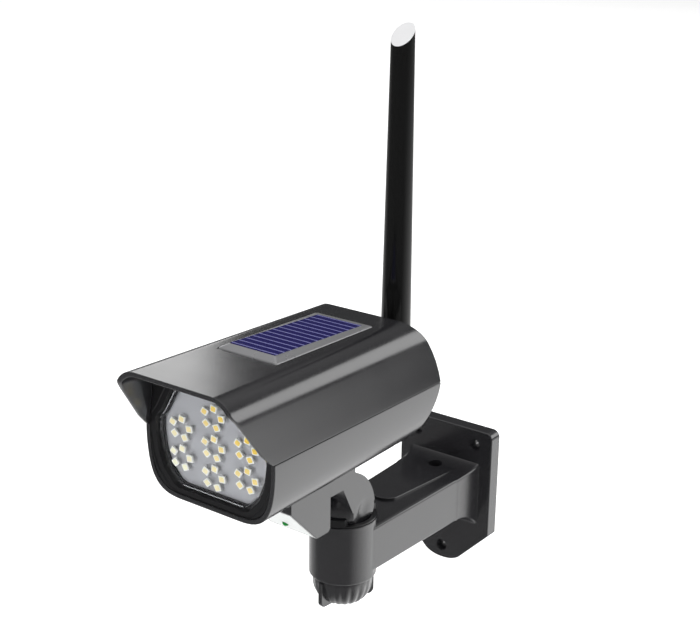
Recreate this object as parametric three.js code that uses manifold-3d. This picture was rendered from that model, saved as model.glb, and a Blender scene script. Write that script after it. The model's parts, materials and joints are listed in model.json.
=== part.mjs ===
// Solar security light in the shape of a box camera, on a ball-jointed wall bracket.
// Millimetres, +Z up. The origin is the middle of the wall plate's rear face; the light looks along -Y.
import * as THREE from 'three';
import { mergeVertices } from 'three/addons/utils/BufferGeometryUtils.js';
import Module from 'manifold-3d';

const wasm = await Module();
wasm.setup();

// ---- Driving dimensions --------------------------------------------------------------------------
const GAP = 0.3;                       // clearance between neighbouring pieces
const WALL = 2.6;                      // shell wall

const PLATE = { half: 37.5, top: 52.5, shoulder: -24.5, slantX: 14.5, slantZ: -48, bottom: -52.5,
  thick: 10, corner: 5, holeX: 23.8, holeZ: 41.4, lowHoleZ: -42.8, holeR: 2.6, sinkR: 4.2, sink: 3 };
const ARM = { top: 22.9, bottom: -7.9, halfFront: 22.4, halfRear: 25.6, flare: 17, cableR: 4.8, cableY: -22 };
const TONGUE = { half: 9.8, rearHalf: 16, noseY: -80, height: 1 };
const PIVOT_Y = -127.5;                // barrel axis
const BALL = { z: 35.6, r: 19.4, cheek: 16.2, dishR: 8.5, dishDepth: 1.2 };
const BARREL = { r: 21.8, inner: 20, top: 27.8, bottom: -12.4, floor: -5.4, chamfer: 1.4 };
const CRADLE = { r: 19.7, bottom: 12.4, collarR: 21.2, collarTop: 33.4, hole: 6, notch: 17.5 };
const WASHER = { r: 15, bottom: 9.2, top: 12.1 };
const STUD = { r: 4, bottom: -24, top: 8.9 };
const NUT = { r: 7.2, inner: 4.4, bottom: -11.8, top: -5.9 };
const KNOB = { r: 19.4, low: 9.5, top: -12.8, bottom: -31.2, wing: 21, wingThick: 3.2,
  turns: [-6, 144.5] };                                // directions of the two wings, degrees from -Y

const SEAM_Z = 118.1;                  // joint line between the two head shells
const FRONT_Y = -250.8;                // front rim of the lower housing
const VISOR_Y = -277.4;                // front lip of the visor
const SWEEP = { lip: 34.2, y: -254.1, foot: 1.2, endY: -251.8 };   // visor side edge, heights from the seam
const REAR_Y = -80;                    // beyond the bulged back, which cuts the shells
const BACK = { y: -139.7, z: 2.8, r: 47.4 };   // arc of the bulged back, z from the seam
const TAPER_Z = 0.065;                 // loss of height from the visor lip to the back
const TAPER_X = 0.10;                  // loss of width of the flat top and bottom, likewise
const FULL_H = 42;

// Right halves of the head's section at the front, from the seam outwards: [x, z above the seam].
const TOP_HALF = [[47.5, 0], [43.7, 27.6], [42.2, 33.3], [39, 37.8], [34.2, 40.9], [28.5, 42.1]];
const LOW_HALF = [[47.5, 0], [47.7, -8.5], [46.2, -21.5], [44, -29.3], [40.8, -34.6], [35.7, -38.3],
  [30, -40.1], [22.8, -40.6]];
const PANEL_HALF = [[0, -31.5], [22, -31.5], [25.5, -30.2], [32.5, -22.7], [35.9, -14.6], [37.5, -4],
  [37.2, 4.8], [33.3, 10], [27, 21], [22, 28], [16, 31], [0, 31.8]];

const SOLAR = { half: 21.9, y0: -219, y1: -128.8, rise: 3, rearRise: 0.7, deep: 3.4, margin: 5 };
const LIGHT = { y: -245.4, board: 1.6, chip: 4.4, ring: 6, tilt: 9, step: 17.8, side: 24.1, drop: 3.3,
  centreZ: -4.2, frame: 6.4, coverFront: 2.2, coverRear: 3.4 };
const POD = { half: 18, y0: -201.5, y1: -163.9, chin: 60.8, keel: 35.8, heel: -177, wall: 2, heelCut: 2 };
const NECK = { y0: -163.5, y1: -137.5, bottom: 56.8, step: -149.2, arcY: -148, arcZ: 34, arcR: 32,
  arcLow: 8, arcHigh: 70 };                            // rounded rear, its ends in degrees above level
const BUTTON = { y: -130, x: 22.6, r: 4, lift: 1 };
const CELL = { y: -205, long: 65, r: 9.2, z: 96 };      // two standard 18 x 65 cells in sleeves
const BOARD = { y: -150, z: 96, halfX: 24, halfY: 16, thick: 1.6 };
const ANTENNA = { y: -74.5, hubZ: 124, baseA: 10, baseB: 9, tipA: 7.4, tipB: 6.4, top: 329, tongue: 3.2 };

// ---- Solid helpers -------------------------------------------------------------------------------
function bare(geometry) {
  const copy = geometry.clone();
  for (const name of Object.keys(copy.attributes)) if (name !== 'position') copy.deleteAttribute(name);
  return mergeVertices(copy, 1e-4);
}

function volumeOf(geometry) {
  const p = geometry.attributes.position;
  const index = geometry.index.array;
  const [a, b, c] = [new THREE.Vector3(), new THREE.Vector3(), new THREE.Vector3()];
  let sum = 0;
  for (let i = 0; i < index.length; i += 3) {
    a.fromBufferAttribute(p, index[i]);
    b.fromBufferAttribute(p, index[i + 1]);
    c.fromBufferAttribute(p, index[i + 2]);
    sum += a.dot(b.cross(c)) / 6;
  }
  return sum;
}

function outward(geometry) {
  const result = bare(geometry);
  if (volumeOf(result) < 0) {
    const index = result.index.array;
    for (let i = 0; i < index.length; i += 3) [index[i], index[i + 1]] = [index[i + 1], index[i]];
  }
  return result;
}

function solid(geometry) {
  const closed = outward(geometry);
  return new wasm.Manifold(new wasm.Mesh({
    numProp: 3,
    vertProperties: new Float32Array(closed.attributes.position.array),
    triVerts: new Uint32Array(closed.index.array),
  }));
}

function geometryOf(manifold) {
  const mesh = manifold.getMesh();
  const geometry = new THREE.BufferGeometry();
  geometry.setAttribute('position', new THREE.BufferAttribute(new Float32Array(mesh.vertProperties), 3));
  geometry.setIndex(new THREE.BufferAttribute(new Uint32Array(mesh.triVerts), 1));
  geometry.computeVertexNormals();
  return geometry;
}

const join = (first, ...rest) => rest.reduce((sum, next) => sum.add(next), first);
const cut = (first, ...rest) => rest.reduce((sum, next) => sum.subtract(next), first);

// A skin over rings of equally many points, closed by flat ends.
function loft(rings) {
  const n = rings[0].length;
  const points = rings.flat();
  const faces = [];
  for (let r = 0; r < rings.length - 1; r += 1) {
    for (let i = 0; i < n; i += 1) {
      const [a, b] = [r * n + i, r * n + (i + 1) % n];
      faces.push(a, b, b + n, a, b + n, a + n);
    }
  }
  const flatten = (ring) => {
    const span = (axis) => Math.max(...ring.map((p) => p[axis])) - Math.min(...ring.map((p) => p[axis]));
    const [u, v] = ['x', 'y', 'z'].sort((s, t) => span(t) - span(s));
    return ring.map((p) => new THREE.Vector2(p[u], p[v]));
  };
  for (const [ring, start, flip] of [[rings[0], 0, true], [rings.at(-1), (rings.length - 1) * n, false]]) {
    const flat = flatten(ring);
    const reference = new THREE.Vector3();
    for (let i = 0; i < n; i += 1) reference.add(ring[i].clone().cross(ring[(i + 1) % n]));
    for (const [a, b, c] of THREE.ShapeUtils.triangulateShape(flat, [])) {
      const normal = ring[b].clone().sub(ring[a]).cross(ring[c].clone().sub(ring[a]));
      const along = normal.dot(reference) > 0;
      faces.push(...(along === flip ? [start + a, start + c, start + b] : [start + a, start + b, start + c]));
    }
  }
  const geometry = new THREE.BufferGeometry();
  geometry.setAttribute('position', new THREE.Float32BufferAttribute(points.flatMap((p) => p.toArray()), 3));
  geometry.setIndex(faces);
  return solid(geometry);
}

// Prisms: an outline carried along one axis from one end to the other.
const prism = (points, ends, place) => loft(ends.map((end) => points.map(([u, v]) => place(end, u, v))));
const alongX = (points, ...ends) => prism(points, ends, (x, y, z) => new THREE.Vector3(x, y, z));
const alongY = (points, ...ends) => prism(points, ends, (y, x, z) => new THREE.Vector3(x, y, z));
const alongZ = (points, ...ends) => prism(points, ends, (z, x, y) => new THREE.Vector3(x, y, z));

function box(x0, x1, y0, y1, z0, z1) {
  const geometry = new THREE.BoxGeometry(x1 - x0, y1 - y0, z1 - z0);
  return solid(geometry.translate((x0 + x1) / 2, (y0 + y1) / 2, (z0 + z1) / 2));
}

function turned(profile, x, y, segments = 48) {
  const geometry = new THREE.LatheGeometry(profile.map(([r, z]) => new THREE.Vector2(r, z)), segments);
  return solid(geometry.rotateX(Math.PI / 2).translate(x, y, 0));
}

function post(r, x, y, z0, z1, segments = 24) {
  return turned([[0, z0], [r, z0], [r, z1], [0, z1]], x, y, segments);
}

// A round bar along X or Y.
function barX(r, x0, x1, y, z, segments = 24) {
  const geometry = new THREE.CylinderGeometry(r, r, x1 - x0, segments);
  return solid(geometry.rotateZ(Math.PI / 2).translate((x0 + x1) / 2, y, z));
}

function barY(r, y0, y1, x, z, segments = 24) {
  const geometry = new THREE.CylinderGeometry(r, r, y1 - y0, segments);
  return solid(geometry.translate(x, (y0 + y1) / 2, z));
}

function ball(r, x, y, z, across = 32, down = 18) {
  return solid(new THREE.SphereGeometry(r, across, down).rotateX(Math.PI / 2).translate(x, y, z));
}

function mirrored(half) {
  const left = half.map(([x, z]) => [-x, z]).reverse();
  return half.concat(left.filter(([x]) => Math.abs(x) > 1e-6));
}

// ---- Materials -----------------------------------------------------------------------------------
const material = (color, roughness, metalness = 0, extra = {}) =>
  new THREE.MeshStandardMaterial({ color, roughness, metalness, ...extra });
const look = {
  shell: material(0x55565a, 0.22),
  black: material(0x0b0b0c, 0.35),
  gloss: material(0x08080a, 0.12),
  board: material(0xa9aaac, 0.5),
  chip: material(0xf3e7a6, 0.35),
  clear: material(0xe8eef2, 0.05, 0, { transparent: true, opacity: 0.25 }),
  white: material(0xf4f4f2, 0.4),
  green: material(0x15702c, 0.15),
  solar: material(0x1d1a6a, 0.15),
  silver: material(0xb9bbbd, 0.3),
  steel: material(0x9a9da1, 0.3, 0.9),
  brass: material(0xb08d45, 0.3, 0.9),
  rubber: material(0x1c1c1e, 0.8),
  circuit: material(0x1d5b34, 0.5),
  sleeve: material(0x2f6fa8, 0.4),
  lead: material(0x8f1f1f, 0.5),
};

const assembly = new THREE.Group();
function add(name, shape, finish) {
  const mesh = new THREE.Mesh(geometryOf(shape), finish);
  mesh.name = name;
  assembly.add(mesh);
}

// ---- Wall bracket --------------------------------------------------------------------------------
function plateOutline() {
  const shape = new THREE.Shape();
  const { half, top, shoulder, slantX, slantZ, bottom, corner } = PLATE;
  shape.moveTo(-half + corner, top);
  shape.lineTo(half - corner, top);
  shape.quadraticCurveTo(half, top, half, top - corner);
  shape.lineTo(half, shoulder);
  shape.lineTo(slantX, slantZ);
  shape.quadraticCurveTo(slantX - 5, bottom, 0, bottom);
  shape.quadraticCurveTo(5 - slantX, bottom, -slantX, slantZ);
  shape.lineTo(-half, shoulder);
  shape.lineTo(-half, top - corner);
  shape.quadraticCurveTo(-half, top, -half + corner, top);
  return shape.getPoints(5).slice(0, -1).map((p) => [p.x, p.y]);
}

function screwHole(x, z) {
  const { thick, holeR, sinkR, sink } = PLATE;
  const profile = [[0, -1], [holeR, -1], [holeR, thick - sink], [sinkR, thick - 0.2], [sinkR, thick + 1],
    [0, thick + 1]];
  const geometry = new THREE.LatheGeometry(profile.map(([r, y]) => new THREE.Vector2(r, y)), 24);
  return solid(geometry.rotateX(Math.PI).translate(x, 0, z));
}

function armSection(y, half, top, bottom) {
  const edge = 2;
  const outline = [[half, bottom + edge], [half, top - edge], [half - edge, top], [edge - half, top],
    [-half, top - edge], [-half, bottom + edge], [edge - half, bottom], [half - edge, bottom]];
  return outline.map(([x, z]) => new THREE.Vector3(x, y, z));
}

function wallBracket() {
  const rise = 1.2;
  const rim = 1.2;
  const outline = plateOutline();
  const shrink = (k) => outline.map(([x, z]) => [x * (1 - k / PLATE.half), z * (1 - k / PLATE.top)]);
  const plate = loft([[0, 0], [rim - PLATE.thick, 0], [-PLATE.thick, rim]].map(([y, k]) =>
    shrink(k).map(([x, z]) => new THREE.Vector3(x, y, z))));
  const sections = [armSection(PIVOT_Y, ARM.halfFront - 0.9, ARM.top, ARM.bottom),
    armSection(-34, ARM.halfRear - 0.6, ARM.top + rise, ARM.bottom)];
  const steps = 4;
  for (let i = 1; i <= steps; i += 1) {
    const t = i / steps;
    const swell = 1 - Math.sqrt(1 - (0.95 * t) ** 2);
    sections.push(armSection(-34 + 25 * t, ARM.halfRear + 5 * swell, ARM.top + rise + 7 * swell,
      ARM.bottom - ARM.flare * swell));
  }
  const arm = loft(sections);
  const round = Array.from({ length: 9 }, (_, i) => Math.PI * (1 + i / 8));
  const nose = round.map((a) => [TONGUE.half * Math.cos(a), TONGUE.noseY + TONGUE.half * Math.sin(a)]);
  const tongue = alongZ([...nose, [TONGUE.rearHalf, -16], [-TONGUE.rearHalf, -16]],
    ARM.top - 3, ARM.top + rise + TONGUE.height);
  const { r, top, bottom, chamfer, inner, floor } = BARREL;
  const barrel = turned([[0, bottom], [r - chamfer, bottom], [r, bottom + chamfer], [r, top - 0.6],
    [r - 0.6, top], [0, top]], 0, PIVOT_Y, 48);
  return cut(join(plate, arm, tongue, barrel),
    post(inner, 0, PIVOT_Y, floor, top + 30, 48),
    post(NUT.r + GAP, 0, PIVOT_Y, bottom - 1, floor + 1, 6),
    post(ARM.cableR, 0, ARM.cableY, -40, 60),
    screwHole(PLATE.holeX, PLATE.holeZ),
    screwHole(-PLATE.holeX, PLATE.holeZ),
    screwHole(0, PLATE.lowHoleZ));
}

// ---- Ball joint and its lock ---------------------------------------------------------------------
function ballCradle() {
  const { r, bottom, collarR, collarTop, hole, notch } = CRADLE;
  const ledge = BARREL.top + GAP;
  const body = turned([[0, bottom], [r, bottom], [r, ledge], [collarR, ledge], [collarR, collarTop - 0.8],
    [collarR - 0.8, collarTop], [0, collarTop]], 0, PIVOT_Y, 48);
  const side = (s) => box(s > 0 ? 13.5 : -30, s > 0 ? 30 : -13.5, PIVOT_Y - notch, PIVOT_Y + notch,
    ledge + 1, collarTop + 5);
  return cut(body, ball(BALL.r + GAP, 0, PIVOT_Y, BALL.z, 40, 22), post(hole, 0, PIVOT_Y, 0, 40),
    side(1), side(-1));
}

function ballFoot() {
  const { z, r, cheek, dishR, dishDepth } = BALL;
  const sphere = ball(r, 0, PIVOT_Y, z, 40, 22)
    .intersect(box(-cheek, cheek, PIVOT_Y - 30, PIVOT_Y + 30, 0, 80));
  const top = lowerSkinZ(NECK.y1) + 3;
  const steps = 6;
  const rear = Array.from({ length: steps + 1 }, (_, i) => {
    const angle = THREE.MathUtils.degToRad(NECK.arcLow + (NECK.arcHigh - NECK.arcLow) * i / steps);
    return [NECK.arcY + NECK.arcR * Math.cos(angle), NECK.arcZ + NECK.arcR * Math.sin(angle)];
  });
  const neck = alongX([[NECK.y0, top], [NECK.y0, NECK.bottom], [NECK.step, NECK.bottom],
    [PIVOT_Y - 11.8, z + 2.1], [PIVOT_Y - 8, z], [PIVOT_Y + 8, z], ...rear, [NECK.y1, top]], -cheek, cheek);
  const dish = (s) => turned([[0, -1], [dishR + 0.4, -1], [dishR, 0], [dishR * 0.55, dishDepth * 0.7],
    [0, dishDepth]], 0, 0, 32).rotate([0, s * -90, 0]).translate([s * cheek, PIVOT_Y, z]);
  return cut(join(sphere, neck), headSolid(LOW_HALF, 0, GAP), dish(1), dish(-1),
    ...footScrewPlaces().map(([x, y]) => post(1.3, x, y, 62, 100, 12)));
}

function lockKnob() {
  const { r, low, top, bottom, wing, wingThick, turns } = KNOB;
  const rows = 7;
  const curve = Array.from({ length: rows }, (_, i) => {
    const t = i / (rows - 1);
    const swing = t * Math.PI / 2;
    return [low + (r - low) * Math.sin(swing), bottom + (top - 4 - bottom) * (1 - Math.cos(swing))];
  });
  const dome = turned([[0, bottom], ...curve, [r, top], [0, top]], 0, PIVOT_Y, 48);
  const corner = 4;
  const outline = [[0, top - 1], [0, bottom - 0.4], [corner - wing, bottom - 0.4], [1.2 - wing, bottom + 1],
    [-wing, bottom + corner - 1], [-wing, top - 1]];
  const wings = turns.map((turn) => alongX(outline, -wingThick / 2, wingThick / 2)
    .rotate([0, 0, turn]).translate([0, PIVOT_Y, 0]));
  return cut(join(dome, ...wings), post(STUD.r + GAP, 0, PIVOT_Y, STUD.bottom - GAP, 0, 24));
}

// ---- Head shells ---------------------------------------------------------------------------------
function taper(x, z, y) {
  const s = (y - VISOR_Y) / (REAR_Y - VISOR_Y);
  return [x * (1 - TAPER_X * s * Math.abs(z) / FULL_H), z * (1 - TAPER_Z * s)];
}

function sectionAt(half, y, inset, closeZ) {
  const [w, h] = [half[0][0], Math.abs(half.at(-1)[1])];
  const grown = half.map(([x, z]) => {
    const [tx, tz] = taper(x, z, y);
    return [tx * (w - inset) / w, tz * (h - inset) / h];
  });
  if (closeZ) grown.unshift([grown[0][0], closeZ]);
  return mirrored(grown).map(([x, z]) => new THREE.Vector3(x, y, SEAM_Z + z));
}

function backArc(inset, z0, z1) {
  const steps = 10;
  return Array.from({ length: steps + 1 }, (_, i) => {
    const z = z0 + (z1 - z0) * i / steps;
    return [BACK.y + Math.sqrt((BACK.r - inset) ** 2 - (z - BACK.z) ** 2), SEAM_Z + z];
  });
}

// The head's solid between two section ends, bounded by the bulged back; a negative inset grows it.
function headSolid(half, inset, grow, front = FRONT_Y - 60, closeZ = 0) {
  const steps = 5;
  const stations = Array.from({ length: steps + 1 }, (_, i) => front + (REAR_Y - front) * i / steps);
  const skin = loft(stations.map((y) => sectionAt(half, y, inset - grow, closeZ)));
  const side = alongX([[front - 5, SEAM_Z - 46], ...backArc(inset - grow, -43.6 + inset, 44 - inset),
    [front - 5, SEAM_Z + 46]], -60, 60);
  return skin.intersect(side);
}

function lowerSkinZ(y) {
  return SEAM_Z + taper(0, LOW_HALF.at(-1)[1], y)[1];
}

function shellScrewPlaces() {
  return [-1, 1].flatMap((s) => [[s * 37, -233], [s * 35.5, -124]]);
}

function footScrewPlaces() {
  return [-1, 1].flatMap((s) => [[s * 10, -158], [s * 10, -143]]);
}

function topShell() {
  const skin = headSolid(TOP_HALF, 0, 0, VISOR_Y);
  const visor = alongX([[VISOR_Y - 6, SEAM_Z + 80], [VISOR_Y - 6, SEAM_Z + SWEEP.lip],
    [VISOR_Y, SEAM_Z + SWEEP.lip], [SWEEP.y, SEAM_Z + SWEEP.foot], [SWEEP.endY, SEAM_Z + GAP / 2],
    [REAR_Y + 10, SEAM_Z + GAP / 2], [REAR_Y + 10, SEAM_Z + 80]], -60, 60);
  const hollow = headSolid(TOP_HALF, WALL, 0, VISOR_Y - 10, -6);
  const posts = shellScrewPlaces().map(([x, y]) => post(4, x, y, SEAM_Z + 1, SEAM_Z + 50, 16));
  const shell = join(cut(skin, hollow), ...posts.map((p) => p.intersect(skin))).intersect(visor);
  const window = box(-SOLAR.half, SOLAR.half, SOLAR.y0, SOLAR.y1, SEAM_Z + 30, SEAM_Z + 60);
  const pilots = shellScrewPlaces().map(([x, y]) => post(1.5, x, y, SEAM_Z - 2, SEAM_Z + 16, 12));
  return cut(shell, window, ...pilots);
}

function lowerHousing() {
  const skin = headSolid(LOW_HALF, 0, 0, FRONT_Y).intersect(box(-60, 60, FRONT_Y, 0, 60, SEAM_Z - GAP / 2));
  const hollow = headSolid(LOW_HALF, WALL, 0, FRONT_Y - 10, 6);
  const posts = shellScrewPlaces().map(([x, y]) => post(4.6, x, y, 70, SEAM_Z - 1, 16).intersect(skin));
  const sink = ([x, y]) => join(post(1.8, x, y, 60, SEAM_Z + 1, 12), post(3.3, x, y, 60, SEAM_Z - 18, 16));
  const socket = barY(5.4, -100, -80, 0, SEAM_Z - 10);
  return cut(join(cut(skin, hollow), ...posts), ...shellScrewPlaces().map(sink), socket,
    ...footScrewPlaces().map(([x, y]) => post(1.8, x, y, 60, 100, 12)),
    post(BUTTON.r + 0.4, BUTTON.x, BUTTON.y, 60, 100, 24),
    box(-6, 6, -190, -171, 60, 95));
}

function shellGasket() {
  const half = 47.5 - WALL - GAP;
  const [front, shoulder, rear, step] = [-242, -106, -96.5, 8];
  const ring = (inset) => [[half - inset, front + inset], [half - inset, shoulder],
    [half - step - inset, rear - inset], [inset + step - half, rear - inset], [inset - half, shoulder],
    [inset - half, front + inset]];
  return cut(alongZ(ring(0), SEAM_Z - 0.9, SEAM_Z + 0.9), alongZ(ring(1.6), SEAM_Z - 2, SEAM_Z + 2));
}

// ---- Light unit ----------------------------------------------------------------------------------
function frameOutline(y) {
  const top = sectionAt(TOP_HALF, y, WALL + GAP, 0).map((p) => [p.x, p.z]);
  const low = sectionAt(LOW_HALF, y, WALL + GAP, 0).map((p) => [p.x, p.z]);
  const right = top.slice(0, top.length / 2).reverse();
  return [...right, ...low.slice(1, -1), ...top.slice(top.length / 2).reverse()];
}

const panelOutline = (grow) => mirrored(PANEL_HALF).map(([x, z]) => {
  const scale = 1 + grow / 36;
  return [x * scale, SEAM_Z + z * scale];
});

function lensFrame() {
  const depth = LIGHT.frame;
  const block = alongY(frameOutline(FRONT_Y), FRONT_Y + 0.6, FRONT_Y + depth);
  const rings = [[-3, 9.4], [1.2, 6.6], [1.2001, 3.2], [5, 1.2], [5.0001, 0.2], [depth + 2, 0.2]];
  const mouth = loft(rings.map(([y, grow]) => panelOutline(grow).map(([x, z]) =>
    new THREE.Vector3(x, FRONT_Y + y, z))));
  return cut(block, mouth);
}

function ledGroups() {
  const { y, step, side, drop, centreZ } = LIGHT;
  const places = [[0, step], [0, 0], [0, -step]];
  for (const s of [-1, 1]) places.push([s * side, step / 2 - drop], [s * side, -step / 2 - drop]);
  return places.map(([x, z]) => [x, y, SEAM_Z + centreZ + z]);
}

function ledGroup([x, y, z]) {
  const { chip, ring, tilt } = LIGHT;
  const disc = cut(barY(ring + 1.2, y - 0.7, y - 0.3, x, z, 15), barY(ring - 1.6, y - 2, y + 2, x, z, 10));
  const chips = Array.from({ length: 5 }, (_, i) => {
    const a = THREE.MathUtils.degToRad(tilt + 72 * i);
    const h = chip / 2;
    return box(-h, h, -0.7, 0.4, -h, h).rotate([0, -THREE.MathUtils.radToDeg(a), 0])
      .translate([x + ring * Math.cos(a), y - 1, z + ring * Math.sin(a)]);
  });
  return join(disc, ...chips);
}

// ---- Solar panel ---------------------------------------------------------------------------------
function solarTopZ(y) {
  return SEAM_Z + taper(0, TOP_HALF.at(-1)[1], y)[1];
}

function solarBlock(inset, drop, rise0, rise1) {
  const { half, y0, y1 } = SOLAR;
  const [a, b] = [y0 + inset, y1 - inset];
  const x = half - inset;
  return [[-x, a, rise0], [x, a, rise0], [x, b, rise1], [-x, b, rise1]]
    .map(([px, py, up]) => new THREE.Vector3(px, py, solarTopZ(py) + up - drop));
}

function solarTray() {
  const { rise, rearRise, deep, margin } = SOLAR;
  const tray = loft([solarBlock(GAP, deep, 0, 0), solarBlock(GAP, 0, 0.2, 0.2),
    solarBlock(margin - 0.6, 0, rise, rearRise)]);
  const seat = loft([solarBlock(margin, 1.4, rise, rearRise), solarBlock(margin, -3, rise, rearRise)]);
  return cut(tray, seat, post(2, 0, SOLAR.y1 - margin - 6, SEAM_Z + 20, SEAM_Z + 60, 12));
}

function solarPanel() {
  const { rise, rearRise, margin } = SOLAR;
  const [below, above] = [1.1, -0.15];
  return loft([below, above].map((drop) => solarBlock(margin + GAP, drop, rise, rearRise)));
}

// ---- Sensor pod ----------------------------------------------------------------------------------
function podProfile(inset) {
  const { y0, y1, chin, keel, heel, heelCut } = POD;
  const slope = inset * 0.41;
  return [[y0 + inset, chin + slope], [heel + slope, keel + inset],
    [y1 - heelCut - inset * 0.4, keel + inset], [y1 - inset, keel + heelCut + inset * 0.4]];
}

function sensorPod() {
  const { half, y0, y1, wall, chin, keel, heel } = POD;
  const skin = alongX([...podProfile(0), [y1, 90], [y0, 90]], -half, half);
  const hollow = alongX([...podProfile(wall), [y1 - wall, 95], [y0 + wall, 95]], wall - half, half - wall);
  const shell = cut(cut(skin, hollow), headSolid(LOW_HALF, 0, GAP));
  const [dy, dz] = [heel - y0, keel - chin];
  const length = Math.hypot(dy, dz);
  const mouth = box(-half + 1.6, half - 1.6, 1.2, length - 1.6, -6, 6)
    .rotate([THREE.MathUtils.radToDeg(Math.atan2(dz, dy)), 0, 0]).translate([0, y0, chin]);
  return cut(shell, mouth);
}

function onSlope(shape) {
  const { y0, chin, keel, heel } = POD;
  return shape.rotate([THREE.MathUtils.radToDeg(Math.atan2(keel - chin, heel - y0)), 0, 0])
    .translate([0, y0, chin]);
}

const slopeLength = Math.hypot(POD.heel - POD.y0, POD.keel - POD.chin);
const indicatorAt = slopeLength * 0.68;
const sensorAt = slopeLength * 0.42;

function sensorWindow() {
  const [x, y0, y1] = [POD.half - 1.6 - GAP, 1.2 + GAP, slopeLength - 1.6 - GAP];
  const pane = box(-x, x, y0, y1, -0.2, 1.6);
  return onSlope(cut(pane, post(2.4, 0, indicatorAt, -5, 5, 20)));
}

function indicatorLens() {
  const cap = turned([[0, 2.6], [2.1, 2.6], [2.1, -0.4], [1.3, -1.3], [0, -1.7]], 0, indicatorAt, 20);
  return onSlope(cap);
}

function pirSensor() {
  return onSlope(join(post(4.6, 0, sensorAt, 4, 8.2, 24), post(3.8, 0, sensorAt, 8, 9, 24)));
}

function sensorBoard() {
  return onSlope(box(-11, 11, sensorAt - 9, sensorAt + 9, 9.4, 10.8));
}

// ---- Inside the head -----------------------------------------------------------------------------
function battery(x) {
  const end = CELL.y + CELL.long / 2;
  return join(barY(CELL.r, end - CELL.long, end, x, CELL.z, 24), barY(3, end - 1, end + 1, x, CELL.z, 12));
}

function batteryHolder() {
  const { y, r, z } = CELL;
  const [w, l] = [2 * r + 2.5, CELL.long / 2 + 4];
  const tub = box(-w, w, y - l, y + l, z - r - 2.2, z - 1);
  const bay = (x) => join(barY(r + GAP, y - l + 2, y + l - 2, x, z, 24),
    box(x - r - GAP, x + r + GAP, y - l + 2, y + l - 2, z, z + 20));
  return cut(tub, bay(-r - 2 * GAP), bay(r + 2 * GAP));
}

function controlBoard() {
  const { y, z, halfX, halfY, thick } = BOARD;
  const chips = [[-9, -6, 5], [8, 4, 3.5], [-6, 9, 3], [10, -9, 3]];
  return join(box(-halfX, halfX, y - halfY, y + halfY, z, z + thick),
    ...chips.map(([cx, cy, h]) => box(cx - h, cx + h, y + cy - h, y + cy + h, z + 1, z + 3.6)));
}

function lead(points, r = 0.9) {
  const path = new THREE.CatmullRomCurve3(points.map((p) => new THREE.Vector3(...p)));
  const ring = new THREE.Shape(Array.from({ length: 8 }, (_, i) =>
    new THREE.Vector2(r * Math.cos(i * Math.PI / 4), r * Math.sin(i * Math.PI / 4))));
  return solid(new THREE.ExtrudeGeometry(ring, { extrudePath: path, steps: 14, bevelEnabled: false }));
}

function modeSwitch() {
  const { x, y } = BUTTON;
  const floor = lowerSkinZ(y) + WALL;
  return join(box(x - 3, x + 3, y - 3, y + 3, floor + 4.4, floor + 7.4),
    post(1.7, x, y, floor + 3.4, floor + 5, 16));
}

function modeButton() {
  const { x, y, r, lift } = BUTTON;
  const floor = lowerSkinZ(y);
  return join(post(r, x, y, floor - 1.2, floor + WALL + 1, 24),
    post(r + 1.4, x, y, floor + WALL + lift, floor + WALL + lift + 1.3, 24));
}

function screw(x, y, z0, z1, headR, headH) {
  return join(post(1.1, x, y, z0 + headH - 0.5, z1, 8), post(headR, x, y, z0, z0 + headH, 12));
}

function footScrew([x, y]) {
  const floor = lowerSkinZ(y) + WALL + GAP;
  return join(post(1, x, y, floor - 14, floor + 0.5, 8), post(2.8, x, y, floor, floor + 2, 12));
}

// ---- Antenna -------------------------------------------------------------------------------------
const antennaZ = SEAM_Z - 10;
const hingeZ = ANTENNA.hubZ;

function antennaSocket() {
  const collar = barY(8, -91.4, -88.2, 0, antennaZ, 24);
  const neckBar = barY(5, -99, -90, 0, antennaZ, 24);
  return cut(join(collar, neckBar), barY(3, -101, -80, 0, antennaZ, 16));
}

function antennaKnuckle() {
  const { y, tongue } = ANTENNA;
  const hub = join(barY(7.6, -87.9, y + 7, 0, antennaZ, 32), barY(2.6, -97, -86, 0, antennaZ, 16));
  const fork = cut(join(box(-7.6, 7.6, y - 7, y + 7, antennaZ, hingeZ), barX(7, -7.6, 7.6, y, hingeZ, 28)),
    box(-tongue - GAP, tongue + GAP, y - 12, y + 12, hingeZ - 8.4, hingeZ + 12));
  return cut(join(hub, fork), barX(2, -12, 12, y, hingeZ, 20));
}

function antennaBlade() {
  const { y, baseA, baseB, tipA, tipB, top, tongue } = ANTENNA;
  const z0 = hingeZ + 7.8;
  const n = 28;
  const rings = [[z0, 0.86], [z0 + 2, 1]].map(([z, k]) => [z, baseA * k, baseB * k]);
  const steps = 3;
  for (let i = 1; i <= steps; i += 1) {
    const t = i / steps;
    rings.push([z0 + 2 + (top + 8 - z0) * t, baseA + (tipA - baseA) * t, baseB + (tipB - baseB) * t]);
  }
  const rod = loft(rings.map(([z, a, b]) => Array.from({ length: n }, (_, i) =>
    new THREE.Vector3(a * Math.cos(2 * Math.PI * i / n), y + b * Math.sin(2 * Math.PI * i / n), z))));
  const middle = top - 5.5;
  const slant = alongX([[y - 30, middle - 30], [y + 30, middle + 30], [y + 30, top + 60],
    [y - 30, top + 60]], -30, 30);
  const lug = join(box(-tongue, tongue, y - 6.4, y + 6.4, hingeZ, z0 + 1),
    barX(6.4, -tongue, tongue, y, hingeZ, 28));
  return cut(join(cut(rod, slant), lug), barX(2.2, -12, 12, y, hingeZ, 20));
}

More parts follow.
